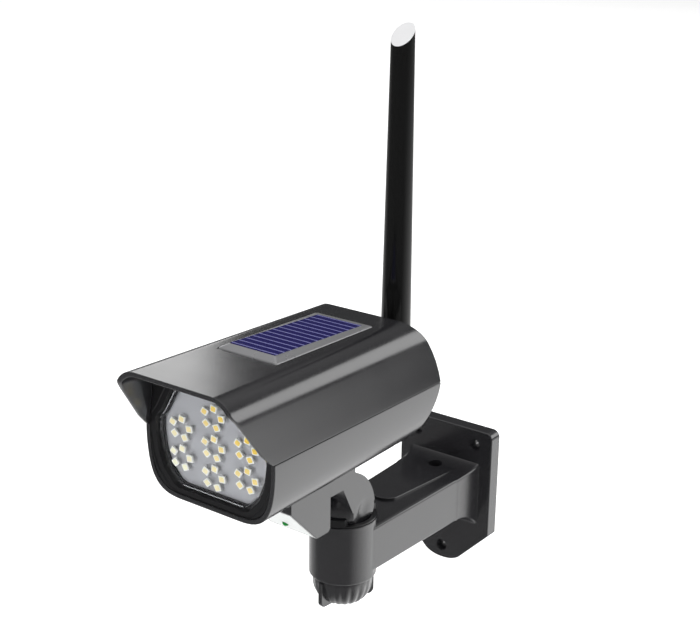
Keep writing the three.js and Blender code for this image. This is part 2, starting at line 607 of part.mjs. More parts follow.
// ---- Assembly ------------------------------------------------------------------------------------
add('wall_bracket', wallBracket(), look.shell);
add('clamp_nut', cut(post(NUT.r, 0, PIVOT_Y, NUT.bottom, NUT.top, 6),
  post(NUT.inner, 0, PIVOT_Y, NUT.bottom - 1, NUT.top + 1)), look.brass);
add('ball_cradle', ballCradle(), look.rubber);
add('thrust_washer', cut(post(WASHER.r, 0, PIVOT_Y, WASHER.bottom, WASHER.top, 40),
  post(2, 0, PIVOT_Y, WASHER.bottom + 1, WASHER.top + 1, 16)), look.steel);
add('clamp_screw', post(STUD.r, 0, PIVOT_Y, STUD.bottom, STUD.top), look.steel);
add('lock_knob', lockKnob(), look.shell);

add('ball_foot', ballFoot(), look.shell);
add('lower_housing', lowerHousing(), look.shell);
add('top_shell', topShell(), look.shell);
add('shell_gasket', shellGasket(), look.rubber);
shellScrewPlaces().forEach(([x, y], i) =>
  add(`shell_screw_${i + 1}`, screw(x, y, SEAM_Z - 20.1, SEAM_Z + 13, 2.8, 1.8), look.steel));
footScrewPlaces().forEach((place, i) => add(`foot_screw_${i + 1}`, footScrew(place), look.steel));

add('lens_frame', lensFrame(), look.black);
const [coverFront, coverRear] = [FRONT_Y + LIGHT.coverFront, FRONT_Y + LIGHT.coverRear];
add('front_lens', alongY(panelOutline(0.8), coverFront, coverRear), look.clear);
const boardY = FRONT_Y + LIGHT.frame + GAP;
add('led_board', alongY(panelOutline(2), boardY, boardY + LIGHT.board), look.board);
ledGroups().forEach((place, i) => add(`led_group_${i + 1}`, ledGroup(place), look.chip));

add('solar_tray', solarTray(), look.silver);
add('solar_panel', solarPanel(), look.solar);

add('sensor_pod', sensorPod(), look.shell);
add('sensor_window', sensorWindow(), look.white);
add('indicator_lens', indicatorLens(), look.green);
add('pir_sensor', pirSensor(), look.steel);
add('sensor_board', sensorBoard(), look.circuit);

add('battery_1', battery(-CELL.r - 2 * GAP), look.sleeve);
add('battery_2', battery(CELL.r + 2 * GAP), look.sleeve);
add('battery_holder', batteryHolder(), look.black);
add('control_board', controlBoard(), look.circuit);
add('mode_switch', modeSwitch(), look.black);
add('mode_button', modeButton(), look.rubber);
add('solar_lead', lead([[0, -141, SEAM_Z + 34], [3, -142, SEAM_Z + 20], [5, -146, SEAM_Z],
  [2, -150, 102]]), look.lead);
add('led_lead', lead([[0, -242, 112], [4, -234, 118], [6, -205, 120], [4, -176, 115],
  [-2, -164, 102]]), look.lead);
add('sensor_lead', lead([[0, -182, 66], [0, -181.6, 75], [0, -179.6, 81.4], [0, -174, 83], [0, -167, 83.2],
  [2, -161, 87], [6, -157, 94.4]]), look.lead);

add('antenna_socket', antennaSocket(), look.black);
add('antenna_knuckle', antennaKnuckle(), look.gloss);
add('knuckle_pin', barX(1.7, -7.3, 7.3, ANTENNA.y, hingeZ, 16), look.steel);
add('antenna_blade', antennaBlade(), look.gloss);

export default assembly;
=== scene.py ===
"""Looks of the solar security light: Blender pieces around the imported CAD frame.

Shapes are worked out in millimetres in the frame's axes and stored in metres.
"""
import json
import math

import bmesh
import bpy
from mathutils import Matrix, Vector
from mathutils.geometry import interpolate_bezier


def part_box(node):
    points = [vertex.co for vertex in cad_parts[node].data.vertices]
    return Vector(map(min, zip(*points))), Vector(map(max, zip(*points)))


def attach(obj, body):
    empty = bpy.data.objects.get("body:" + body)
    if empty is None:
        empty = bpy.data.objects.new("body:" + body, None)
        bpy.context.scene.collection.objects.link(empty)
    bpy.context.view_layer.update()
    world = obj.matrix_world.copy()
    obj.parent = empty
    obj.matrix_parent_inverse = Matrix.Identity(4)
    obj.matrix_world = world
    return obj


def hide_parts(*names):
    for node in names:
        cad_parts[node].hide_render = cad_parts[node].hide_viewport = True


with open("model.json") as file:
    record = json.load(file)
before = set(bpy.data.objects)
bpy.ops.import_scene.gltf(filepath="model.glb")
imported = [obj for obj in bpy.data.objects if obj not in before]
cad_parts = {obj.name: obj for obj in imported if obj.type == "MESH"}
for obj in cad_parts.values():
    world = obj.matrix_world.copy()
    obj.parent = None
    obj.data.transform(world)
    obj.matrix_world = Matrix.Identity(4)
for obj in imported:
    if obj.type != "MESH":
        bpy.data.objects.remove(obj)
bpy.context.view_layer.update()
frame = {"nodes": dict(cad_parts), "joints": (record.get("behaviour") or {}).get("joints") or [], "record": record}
MM = 0.001


def span(node):
    """Lowest and highest corner of a CAD node, in millimetres."""
    low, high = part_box(node)
    return low / MM, high / MM


# ---- Driving dimensions -----------------------------------------------------------------------
# Camera: place in metres, angles in degrees, lens and sensor in millimetres
CAMERA_AT = (0.46175, -0.74040, 0.41147)
CAMERA_YAW, CAMERA_PITCH, CAMERA_ROLL = 36.812, 18.067, 0.821
LENS, SENSOR = 68.69, 36.0

# Axes and edges taken from the frame
JOINT = {j["name"]: j for j in frame["joints"]}
PIVOT_Y, BALL_Z = (v / MM for v in JOINT["head_tilt"]["pos_m"][1:])
ANTENNA_Y, HINGE_Z = (v / MM for v in JOINT["antenna_fold"]["pos_m"][1:])
SOCKET_Z = JOINT["antenna_turn"]["pos_m"][2] / MM

SEAM = (span("shell_gasket")[0].z + span("shell_gasket")[1].z) / 2
FRONT_Y = span("lower_housing")[0].y
LIP_Y = span("top_shell")[0].y
GAP = 0.3                                                      # between fitted pieces
WALL = 2.6                                                     # of the head shells
TAPER_END = -80                                                # y where the head's taper is full
TAPER_X, TAPER_Z, FULL_H = 0.10, 0.065, 42
BACK_Y, BACK_Z, BACK_R = -139.7, 2.8, 47.4                     # the rounded back's arc
SWEEP = ((GAP / 2, -251.8), (1.2, -254.1), (34.2, LIP_Y))      # height above the seam, y

# Half sections of the head, as (x, height above the seam)
TOP_SIDE, TOP_SHOULDER, TOP_FLAT = (47.5, 0), (43.7, 27.6), (28.5, 42.1)
TOP_ROWS = (0, 7, 14, 21)
LOW_SIDE, LOW_BULGE, LOW_SHOULDER = (47.5, 0), (48.2, -11), (46.2, -21.5)
LOW_CORNER, LOW_FLAT = (42.4, -40.6), (22.8, -40.6)
STATIONS = 22                                                  # along the head, front to back
# Right half of the light face's outline, bottom to top, from its middle
PANEL = ((22, -31.5), (25.5, -30.2), (32.5, -22.7), (35.9, -14.6), (37.5, -4), (37.2, 4.8),
         (33.3, 10), (27, 21), (22, 28), (16, 31), (0, 31.8))
PANEL_SIZE = 36                                                # its reach, for growing it
SCREWS = [f"shell_screw_{i}" for i in (1, 2, 3, 4)]


# ---- Mesh helpers ----------------------------------------------------------------------------
def solid(points, faces):
    """An unfinished closed mesh object from points in millimetres."""
    mesh = bpy.data.meshes.new("solid")
    mesh.from_pydata([Vector(p) * MM for p in points], [], faces)
    bm = bmesh.new()
    bm.from_mesh(mesh)
    bmesh.ops.remove_doubles(bm, verts=bm.verts, dist=1e-7)
    bmesh.ops.dissolve_degenerate(bm, dist=1e-7, edges=bm.edges)
    bmesh.ops.recalc_face_normals(bm, faces=bm.faces)
    bm.to_mesh(mesh)
    bm.free()
    obj = bpy.data.objects.new("solid", mesh)
    bpy.context.scene.collection.objects.link(obj)
    return obj


def loft(rings, looped=False):
    """A skin over rings of equally many points, with flat ends or looped back to the first."""
    n, count = len(rings[0]), len(rings)
    points = [p for ring in rings for p in ring]
    pairs = [(r * n, (r + 1) % count * n) for r in range(count if looped else count - 1)]
    faces = [(a + i, a + (i + 1) % n, b + (i + 1) % n, b + i) for a, b in pairs for i in range(n)]
    if not looped:
        faces.append(tuple(range(n)))
        faces.append(tuple(range((count - 1) * n, count * n)))
    return solid(points, faces)


def prism_x(outline, x0, x1):
    return loft([[(x, y, z) for y, z in outline] for x in (x0, x1)])


def prism_y(outline, y0, y1):
    return loft([[(x, y, z) for x, z in outline] for y in (y0, y1)])


def prism_z(outline, z0, z1):
    return loft([[(x, y, z) for x, y in outline] for z in (z0, z1)])


def block(low, high):
    (x0, y0, z0), (x1, y1, z1) = low, high
    return prism_z(((x0, y0), (x1, y0), (x1, y1), (x0, y1)), z0, z1)


def circle(r, steps, cx=0, cy=0):
    """Points round a circle; a radius of nothing is kept just above it."""
    r, step = max(r, 1e-4), 2 * math.pi / steps
    return [(cx + r * math.cos(i * step), cy + r * math.sin(i * step)) for i in range(steps)]


def drum(r, start, end):
    """Profile of a plain cylinder along its axis, for turned, rod_y and rod_x."""
    return [(0, start), (r, start), (r, end), (0, end)]


def turned(profile, x=0.0, y=PIVOT_Y, steps=96):
    """A profile of (radius, z) from axis to axis, turned round a vertical axis."""
    return loft([[(px, py, z) for px, py in circle(r, steps, x, y)] for r, z in profile])


def rod_y(profile, x, z, steps=64):
    """A profile of (radius, y) turned round an axis along Y."""
    return loft([[(px, y, pz) for px, pz in circle(r, steps, x, z)] for r, y in profile])


def rod_x(profile, y, z, steps=64):
    """A profile of (radius, x) turned round an axis along X."""
    return loft([[(x, py, pz) for py, pz in circle(r, steps, y, z)] for r, x in profile])


def combined(obj, operation, *others):
    """Bakes a boolean with each other object into obj's mesh, and removes the other."""
    for other in others:
        mod = obj.modifiers.new("combine", "BOOLEAN")
        mod.operation = operation
        mod.solver = "EXACT"
        mod.object = other
        graph = bpy.context.evaluated_depsgraph_get()
        shape = bpy.data.meshes.new_from_object(obj.evaluated_get(graph))
        obj.modifiers.clear()
        obj.data = shape
        bpy.data.objects.remove(other)
    return obj


def cut(obj, *others):
    return combined(obj, "DIFFERENCE", *others)


def join(obj, *others):
    return combined(obj, "UNION", *others)


def common(obj, *others):
    return combined(obj, "INTERSECT", *others)


def soften(obj, width, angle=35, segments=3, where=None):
    """Rounds the edges sharper than angle whose middle, in millimetres, passes where."""
    bm = bmesh.new()
    bm.from_mesh(obj.data)
    edges = [e for e in bm.edges
             if len(e.link_faces) == 2 and e.calc_face_angle(0) > math.radians(angle)
             and (where is None or where((e.verts[0].co + e.verts[1].co) / 2 / MM))]
    bmesh.ops.bevel(bm, geom=edges, offset=width * MM, offset_type="OFFSET", segments=segments,
                    profile=0.5, affect="EDGES", clamp_overlap=True)
    bm.to_mesh(obj.data)
    bm.free()
    return obj


def turn(obj, rotation, at):
    """Turns obj's mesh round the origin, then moves it to a point in millimetres."""
    obj.data.transform(Matrix.Translation(Vector(at) * MM) @ rotation)
    return obj


def piece(obj, name, body, slot, replaces, smooth=40):
    """Names a finished solid; gives it its body, look and shading and the nodes it replaces."""
    obj.name = name
    obj.data.name = name
    obj.data.shade_smooth()
    obj.data.set_sharp_from_angle(angle=math.radians(smooth))
    obj.data.materials.clear()
    obj.data.materials.append(LOOKS[slot])
    weighted = obj.modifiers.new("weighted", "WEIGHTED_NORMAL")
    weighted.keep_sharp = True
    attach(obj, body)
    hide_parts(*replaces)
    return obj


# ---- Materials -------------------------------------------------------------------------------
# Sockets of a mix node, which uses the same names for each kind of value
SHARE, LOW_GREY, HIGH_GREY, LOW_COLOUR, HIGH_COLOUR = 0, 2, 3, 6, 7
GREY_OUT, COLOUR_OUT = 0, 2
FLOW_SCALE, GRAIN_DEPTH = 38, 0.0002


def new_look(name):
    look = bpy.data.materials.new(name)
    look.use_nodes = True
    tree = look.node_tree
    return look, tree, tree.nodes["Principled BSDF"]


def link(tree, a, out, b, into):
    tree.links.new(a.outputs[out], b.inputs[into])


def axes(tree, kind="Object"):
    """X, Y and Z of a kind of texture coordinate; the object's own ride with the piece."""
    split = tree.nodes.new("ShaderNodeSeparateXYZ")
    link(tree, tree.nodes.new("ShaderNodeTexCoord"), kind, split, "Vector")
    return split


def noise(tree, scale, detail=3.0):
    """Noise over the object's own coordinates."""
    where = tree.nodes.new("ShaderNodeTexCoord")
    node = tree.nodes.new("ShaderNodeTexNoise")
    node.inputs["Scale"].default_value = scale
    node.inputs["Detail"].default_value = detail
    link(tree, where, "Object", node, "Vector")
    return node


def spread(tree, source, out, low, high, start=0.3, end=0.7):
    """Maps a node's output from start..end to low..high."""
    node = tree.nodes.new("ShaderNodeMapRange")
    node.inputs["From Min"].default_value = start
    node.inputs["From Max"].default_value = end
    node.inputs["To Min"].default_value = low
    node.inputs["To Max"].default_value = high
    link(tree, source, out, node, "Value")
    return node


def tint(tree, share, out, low, high, shader):
    """Blends two colours into the shader's base colour by the share read from a node."""
    mix = tree.nodes.new("ShaderNodeMix")
    mix.data_type = "RGBA"
    mix.inputs[LOW_COLOUR].default_value = (*low, 1)
    mix.inputs[HIGH_COLOUR].default_value = (*high, 1)
    link(tree, share, out, mix, SHARE)
    link(tree, mix, COLOUR_OUT, shader, "Base Color")


def moulded(name, colour, rough, grain=0.02, shade=0.06, coat=0.0, metallic=0.0, scale=2400,
            ior=1.5):
    """Moulded plastic: slight flow marks in the colour, uneven gloss and a fine surface grain."""
    look, tree, shader = new_look(name)
    flow = noise(tree, FLOW_SCALE, 4)
    darker, paler = ([c * (1 + way * shade) for c in colour] for way in (-1, 1))
    tint(tree, flow, "Fac", darker, paler, shader)
    uneven = spread(tree, flow, "Fac", rough * 0.9, rough * 1.12)
    link(tree, uneven, "Result", shader, "Roughness")
    fine = noise(tree, scale, 2)
    bump = tree.nodes.new("ShaderNodeBump")
    bump.inputs["Strength"].default_value = grain
    bump.inputs["Distance"].default_value = GRAIN_DEPTH
    link(tree, fine, "Fac", bump, "Height")
    link(tree, bump, "Normal", shader, "Normal")
    shader.inputs["Metallic"].default_value = metallic
    shader.inputs["IOR"].default_value = ior
    if coat:
        shader.inputs["Coat Weight"].default_value = coat
        shader.inputs["Coat Roughness"].default_value = 0.08
    return look


def banded(name, dark, bright, pitch, share, axis, rough=0.12):
    """Bright bands over a share of each pitch along one axis, on a dark ground."""
    look, tree, shader = new_look(name)
    phase = tree.nodes.new("ShaderNodeMath")
    phase.operation = "DIVIDE"
    phase.inputs[1].default_value = pitch * MM
    link(tree, axes(tree), axis, phase, 0)
    part = tree.nodes.new("ShaderNodeMath")
    part.operation = "FRACT"
    link(tree, phase, 0, part, 0)
    edge = tree.nodes.new("ShaderNodeMath")
    edge.operation = "LESS_THAN"
    edge.inputs[1].default_value = share
    link(tree, part, 0, edge, 0)
    tint(tree, edge, 0, dark, bright, shader)
    uneven = spread(tree, noise(tree, 300), "Fac", rough * 0.9, rough * 1.3)
    link(tree, uneven, "Result", shader, "Roughness")
    return look


def phosphor():
    """Warm yellow at the upper right of the board, paling to the lower left."""
    look, tree, shader = new_look("phosphor")
    split = axes(tree)
    across = spread(tree, split, "X", 0, 0.6, -0.026, 0.026)
    up = spread(tree, split, "Z", 0, 0.6, (SEAM - 24) * MM, (SEAM + 18) * MM)
    both = tree.nodes.new("ShaderNodeMath")
    both.operation = "ADD"
    link(tree, across, "Result", both, 0)
    link(tree, up, "Result", both, 1)
    tint(tree, both, 0, (0.97, 0.97, 0.72), (1, 0.68, 0.06), shader)
    link(tree, spread(tree, noise(tree, 900), "Fac", 0.35, 0.5), "Result", shader, "Roughness")
    return look


def clear_cover():
    """Thin clear plastic, with hardly any bending of light."""
    look, tree, shader = new_look("clear_cover")
    shader.inputs["Base Color"].default_value = (0.97, 0.98, 1, 1)
    shader.inputs["Transmission Weight"].default_value = 1
    shader.inputs["IOR"].default_value = 1.15
    link(tree, spread(tree, noise(tree, 120), "Fac", 0.01, 0.03), "Result", shader, "Roughness")
    return look


LOOKS = {
    "shell": moulded("shell", (0.018, 0.018, 0.02), 0.19, ior=2.15),
    "black_trim": moulded("black_trim", (0.012, 0.012, 0.013), 0.32, grain=0.06),
    "antenna": moulded("antenna", (0.006, 0.006, 0.006), 0.12, grain=0.01),
    "board_face": moulded("board_face", (0.44, 0.44, 0.45), 0.5, grain=0.05),
    "led_chip": moulded("led_chip", (0.94, 0.93, 0.86), 0.4, grain=0.03, shade=0.02),
    "clear_cover": clear_cover(),
    "window": moulded("window", (0.68, 0.7, 0.69), 0.42, grain=0.1),
    "indicator": moulded("indicator", (0.008, 0.2, 0.03), 0.1, grain=0.01, coat=0.5),
    "solar_cell": banded("solar_cell", (0.008, 0.006, 0.1), (0.2, 0.2, 0.42), 5.9, 0.2, "Y"),
    "solar_trim": moulded("solar_trim", (0.4, 0.4, 0.41), 0.28, metallic=0.6),
    "steel": moulded("steel", (0.5, 0.5, 0.52), 0.3, grain=0.1, metallic=1.0),
    "brass": moulded("brass", (0.6, 0.42, 0.16), 0.3, grain=0.1, metallic=1.0),
    "rubber": moulded("rubber", (0.02, 0.02, 0.02), 0.75, grain=0.15),
    "circuit": moulded("circuit", (0.02, 0.16, 0.06), 0.45, grain=0.2, scale=500),
    "sleeve": moulded("sleeve", (0.03, 0.13, 0.32), 0.35),
    "wire": moulded("wire", (0.3, 0.02, 0.02), 0.45),
}
PHOSPHOR = phosphor()
# Pale colour for the antenna's slanted end face: a painted reflection of light on the glossy black tip
TIP_PAINTED_REFLECTION = moulded("antenna_tip_painted_reflection", (0.85, 0.85, 0.86), 0.3)

for part in frame["record"]["subparts"]:
    cad = frame["nodes"][part["node"]]
    cad.data.materials.clear()
    cad.data.materials.append(LOOKS[part["material_slot"]])


# ---- Camera, floor and lights ------------------------------------------------------------------
def make_camera():
    """The camera fitted to the photograph's edges."""
    yaw, pitch, roll = (math.radians(a) for a in (CAMERA_YAW, CAMERA_PITCH, CAMERA_ROLL))
    right = Vector((math.cos(yaw), math.sin(yaw), 0))
    ahead = Vector((-math.sin(yaw) * math.cos(pitch), math.cos(yaw) * math.cos(pitch),
                    -math.sin(pitch)))
    up = right.cross(ahead)
    rolled = right * math.cos(roll) + up * math.sin(roll)
    rolled_up = up * math.cos(roll) - right * math.sin(roll)
    data = bpy.data.cameras.new("camera")
    data.lens, data.sensor_width = LENS, SENSOR
    data.clip_start, data.clip_end = 0.01, 60
    obj = bpy.data.objects.new("camera", data)
    bpy.context.scene.collection.objects.link(obj)
    obj.matrix_world = Matrix((rolled, rolled_up, -ahead)).transposed().to_4x4()
    obj.location = CAMERA_AT
    bpy.context.scene.camera = obj


def area(name, at, aim, width, height, power, mirrored=True):
    """A soft light at one point aimed at another; one not mirrored stays out of reflections."""
    data = bpy.data.lights.new(name, "AREA")
    data.shape = "RECTANGLE"
    data.size, data.size_y, data.energy = width, height, power
    obj = bpy.data.objects.new(name, data)
    bpy.context.scene.collection.objects.link(obj)
    obj.visible_glossy, obj.visible_camera = mirrored, False
    obj.location = at
    obj.rotation_euler = (Vector(aim) - Vector(at)).to_track_quat("-Z", "Y").to_euler()


def make_world():
    """A soft studio, pale to look at, that throws less light round the horizon and in front."""
    world = bpy.data.worlds.new("studio")
    world.use_nodes = True
    bpy.context.scene.world = world
    tree = world.node_tree
    split = axes(tree, "Generated")
    thrown = tree.nodes.new("ShaderNodeMix")
    link(tree, spread(tree, split, "Z", 1, 0, -0.34, -0.06), "Result", thrown, SHARE)
    link(tree, spread(tree, split, "Z", 0.07, 0.5, 0.5, 0.9), "Result", thrown, LOW_GREY)
    link(tree, spread(tree, split, "Y", 0.14, 1.35, -0.45, 0.6), "Result", thrown, HIGH_GREY)
    seen = tree.nodes.new("ShaderNodeMix")
    link(tree, tree.nodes.new("ShaderNodeLightPath"), "Is Camera Ray", seen, SHARE)
    link(tree, thrown, GREY_OUT, seen, LOW_GREY)
    seen.inputs[HIGH_GREY].default_value = 0.96
    link(tree, seen, GREY_OUT, tree.nodes["Background"], "Color")


def make_studio():
    """A pale, evenly lit floor and four soft lights."""
    reach, level = 30, -0.35
    mesh = bpy.data.meshes.new("floor")
    spots = ((-reach, -reach), (reach, -reach), (reach, reach), (-reach, reach))
    mesh.from_pydata([(x, y, level) for x, y in spots], [], [(0, 1, 2, 3)])
    floor = bpy.data.objects.new("floor", mesh)
    bpy.context.scene.collection.objects.link(floor)
    look = moulded("floor", (0.9, 0.9, 0.9), 0.9, grain=0, shade=0.005)
    shader = look.node_tree.nodes["Principled BSDF"]
    shader.inputs["Emission Color"].default_value = (1, 1, 1, 1)
    shader.inputs["Emission Strength"].default_value = 0.5
    mesh.materials.append(look)
    floor.visible_glossy = False
    area("overhead", (0, 0, 3.0), (0, 0, 0), 14, 14, 460, mirrored=False)
    area("key", (-0.3, -1.1, 0.2), (0, -0.25, 0.12), 0.5, 0.5, 2.6, mirrored=False)
    area("side", (1.3, 1.2, 0.66), (0, -0.15, 0.1), 2.4, 0.9, 12)
    area("rear", (-1.8, 1.0, 0.9), (0, -0.15, 0.1), 1.0, 0.8, 5)


make_camera()
make_world()
make_studio()
bpy.context.scene.view_settings.view_transform = "Standard"


# ---- Head shells -------------------------------------------------------------------------------
def bezier(start, corner, end, pull, steps):
    """A rounded corner between two straight runs that would meet at corner."""
    a, c, b = (Vector((*p, 0)) for p in (start, corner, end))
    curve = interpolate_bezier(a, a.lerp(c, pull), b.lerp(c, pull), b, steps)
    return [(p.x, p.y) for p in curve]


def half_section(kind):
    """Right half of the head's section, from the seam to the middle of the flat."""
    if kind == "top":
        slope = (TOP_SHOULDER[0] - TOP_SIDE[0]) / TOP_SHOULDER[1]
        side = [(TOP_SIDE[0] + slope * z, z) for z in TOP_ROWS]
        corner = (TOP_SIDE[0] + slope * TOP_FLAT[1], TOP_FLAT[1])
        shoulder = bezier(TOP_SHOULDER, corner, TOP_FLAT, 0.6, 14)
        x, z = TOP_FLAT
    else:
        side = bezier(LOW_SIDE, LOW_BULGE, LOW_SHOULDER, 0.6, 6)[:-1]
        shoulder = bezier(LOW_SHOULDER, LOW_CORNER, LOW_FLAT, 0.72, 14)
        x, z = LOW_FLAT
    return side + shoulder + [(x / 2, z)]


def tapered(x, z, y):
    """A section point narrowed by the head's taper at y."""
    s = (y - LIP_Y) / (TAPER_END - LIP_Y)
    return x * (1 - TAPER_X * s * abs(z) / FULL_H), z * (1 - TAPER_Z * s)


def sweep_y(z):
    """Front edge of the visor's side at a height above the seam."""
    for (z0, y0), (z1, y1) in zip(SWEEP, SWEEP[1:]):
        if z <= z1:
            return y0 + (y1 - y0) * max(0, z - z0) / (z1 - z0)
    return LIP_Y


def skin(kind, inset):
    """Grid of points over one shell's face: a row per section point, a column per station."""
    half = half_section(kind)
    w, h = half[0][0], abs(half[-1][1])
    full = [(x * (w - inset) / w, z * (h - inset) / h) for x, z in half]
    full += [(-x, z) for x, z in reversed(full)]
    seam_at = GAP / 2 if kind == "top" else -GAP / 2
    columns = [0.5 - 0.5 * math.cos(math.pi * i / STATIONS) for i in range(STATIONS + 1)]
    rows = []
    for x0, z0 in full:
        front, rear = FRONT_Y, -100
        for _ in range(6):                    # each end's y and the taper there settle together
            if kind == "top":
                front = sweep_y(tapered(x0, z0, front)[1])
            z = tapered(x0, z0, rear)[1]
            rear = BACK_Y + math.sqrt((BACK_R - inset) ** 2 - (z - BACK_Z) ** 2)
        row = []
        for c in columns:
            y = front + (rear - front) * c
            x, z = tapered(x0, z0, y)
            row.append((x, y, SEAM + (z if z0 else seam_at)))
        rows.append(row)
    return rows


def shell(kind):
    """One head shell with its wall, closed at the back and open at the front and at the seam."""
    grids = [skin(kind, 0), skin(kind, WALL)]
    n, m, end = len(grids[0]), len(grids[0][0]), len(grids[0][0]) - 1

    def at(g, j, i):
        return (g * n + j) * m + i

    points = [p for grid in grids for row in grid for p in row]
    faces = []
    for g in (0, 1):
        faces += [(at(g, j, i), at(g, j + 1, i), at(g, j + 1, i + 1), at(g, j, i + 1))
                  for j in range(n - 1) for i in range(end)]
        faces += [(at(g, j, end), at(g, j + 1, end), at(g, n - 2 - j, end), at(g, n - 1 - j, end))
                  for j in range(n // 2 - 1)]
    faces += [(at(0, j, 0), at(0, j + 1, 0), at(1, j + 1, 0), at(1, j, 0)) for j in range(n - 1)]
    for j in (0, n - 1):
        faces += [(at(0, j, i), at(0, j, i + 1), at(1, j, i + 1), at(1, j, i)) for i in range(end)]
    faces.append((at(0, 0, end), at(0, n - 1, end), at(1, n - 1, end), at(1, 0, end)))
    return solid(points, faces)


def head_top(y):
    """Height of the head's flat top at y."""
    return SEAM + tapered(0, TOP_FLAT[1], y)[1]


def head_floor(y):
    """Height of the head's flat underside at y."""
    return SEAM + tapered(0, LOW_FLAT[1], y)[1]


def solar_window():
    """The opening in the top that the solar tray drops into."""
    low, high = span("solar_tray")
    return block((low.x - GAP, low.y - GAP, SEAM + 25), (high.x + GAP, high.y + GAP, SEAM + 60))


def middle(node):
    """Middle of a CAD node seen from above, in millimetres."""
    low, high = span(node)
    return (low.x + high.x) / 2, (low.y + high.y) / 2


top = soften(shell("top"), 1.0, angle=50)
cut(top, solar_window())
piece(top, "top_shell_moulding", "head", "shell", ["top_shell"])

# Holes in the lower shell: the cutters start outside it and end inside it
SCREW_HOLE_R, BUTTON_HOLE_R, SOCKET_HOLE_R, BELOW = 3.3, 4.4, 5.4, 60
low_shell = soften(shell("low"), 1.0, angle=50)
for screw in SCREWS:
    cut(low_shell, turned(drum(SCREW_HOLE_R, BELOW, SEAM - 18), *middle(screw), 32))
cut(low_shell, turned(drum(BUTTON_HOLE_R, BELOW, 100), *middle("mode_button"), 40))
cut(low_shell, rod_y(drum(SOCKET_HOLE_R, -102, -80), 0, SOCKET_Z, 40))
piece(low_shell, "lower_housing_moulding", "head", "shell", ["lower_housing"])


# ---- Light face --------------------------------------------------------------------------------
def panel_outline(grow):
    """The light face's outline, grown by about so many millimetres."""
    scale = 1 + grow / PANEL_SIZE
    full = [*PANEL] + [(-x, z) for x, z in reversed(PANEL[:-1])]
    return [(x * scale, z * scale) for x, z in full]


def radial(outline, angle):
    """Where a ray from the middle of the face meets an outline."""
    d = (math.cos(angle), math.sin(angle))
    best = 0
    for (x0, z0), (x1, z1) in zip(outline, outline[1:] + outline[:1]):
        ex, ez = x1 - x0, z1 - z0
        den = d[0] * ez - d[1] * ex
        if abs(den) < 1e-9:
            continue
        t = (x0 * ez - z0 * ex) / den
        k = (x0 * d[1] - z0 * d[0]) / den
        if t > 0 and -1e-6 <= k <= 1 + 1e-6:
            best = max(best, t)
    return (best * d[0], best * d[1])


def face_outline(y, inset):
    """Outline of the head's inside at y, from both halves of the section."""
    full = []
    for kind, sign in (("top", 1), ("low", -1)):
        half = half_section(kind)
        w, h = half[0][0], abs(half[-1][1])
        part = [tapered(x * (w - inset) / w, z * (h - inset) / h, y) for x, z in half]
        part += [(-x, z) for x, z in reversed(part)]
        full += part if sign > 0 else list(reversed(part))[1:-1]
    return full


def lens_frame():
    """The stepped recess between the shells' rim and the light face."""
    rays = 120
    angles = sorted({math.atan2(z, x) % (2 * math.pi) for x, z in panel_outline(0)}
                    | {2 * math.pi * i / rays for i in range(rays)})
    outer = face_outline(FRONT_Y, WALL + GAP)
    # Depth behind the head's front, and how far outside the face; None follows the shells
    steps = ((6.4, None), (0.6, None), (0.6, 7.0), (1.2, 6.6), (1.2, 3.2), (5, 1.2), (5, 0.2),
             (6.4, 0.2))
    rings = []
    for depth, grow in steps:
        outline = outer if grow is None else panel_outline(grow)
        spots = (radial(outline, a) for a in angles)
        rings.append([(x, FRONT_Y + depth, SEAM + z) for x, z in spots])
    return loft(rings, looped=True)


piece(soften(lens_frame(), 0.3, angle=50, segments=2), "lens_frame_moulding", "head", "black_trim",
      ["lens_frame"])

# LED groups: spacing of the rows and columns, then each group's chip size, ring and first angle
STEP, SIDE, DROP, FACE_DROP = 17.8, 24.1, 3.3, -4.2
CHIP, RING, TILT = 4.4, 6.0, 9
STRETCH = Matrix.Diagonal((1.08, 1, 0.95, 1))


def group_places():
    """Middles of the seven LED groups: three in the middle column, two on each side."""
    places = [(0, STEP), (0, 0), (0, -STEP)]
    for s in (-1, 1):
        places += [(s * SIDE, STEP / 2 - DROP), (s * SIDE, -STEP / 2 - DROP)]
    return [(x, SEAM + FACE_DROP + z) for x, z in places]


def rounded_square(size, corner, y, cx, cz, angle):
    """Outline of a chip facing forwards, turned about its middle."""
    points = []
    for k in range(4):
        for i in range(4):
            a = math.pi / 2 * (k + i / 3)
            sx = (size / 2 - corner) * (1 if k in (0, 3) else -1)
            sz = (size / 2 - corner) * (1 if k in (0, 1) else -1)
            px, pz = sx + corner * math.cos(a), sz + corner * math.sin(a)
            points.append((cx + px * math.cos(angle) - pz * math.sin(angle), y,
                           cz + px * math.sin(angle) + pz * math.cos(angle)))
    return points


def led_group(index, x, z):
    """Five LED packages: a cream cup round a slightly raised yellow resin pad."""
    front = span(f"led_group_{index}")[0].y
    # Depth behind the front, and how much smaller than the chip
    cup, cup_corner = ((1.1, 0), (0.35, 0), (0.1, 0.5)), 0.5
    pad, pad_corner = ((0.2, 1.3), (0.06, 1.3), (0, 2.0)), 0.8
    parts = []
    for k in range(5):
        a = math.radians(TILT + 72 * k)
        cx, cz = RING * math.cos(a), RING * math.sin(a)
        for profile, corner in ((cup, cup_corner), (pad, pad_corner)):
            parts.append(loft([rounded_square(CHIP - less, corner, front + depth, cx, cz, a)
                               for depth, less in profile]))
    yellow = []
    bm = bmesh.new()
    for k, part in enumerate(parts):
        yellow += [k % 2] * len(part.data.polygons)
        bm.from_mesh(part.data)
        bpy.data.objects.remove(part)
    mesh = bpy.data.meshes.new("led")
    bm.to_mesh(mesh)
    bm.free()
    obj = bpy.data.objects.new("led", mesh)
    bpy.context.scene.collection.objects.link(obj)
    turn(obj, STRETCH, (x, 0, z))
    piece(obj, f"led_chips_{index}", "head", "led_chip", [f"led_group_{index}"])
    mesh.materials.append(PHOSPHOR)
    mesh.polygons.foreach_set("material_index", yellow)


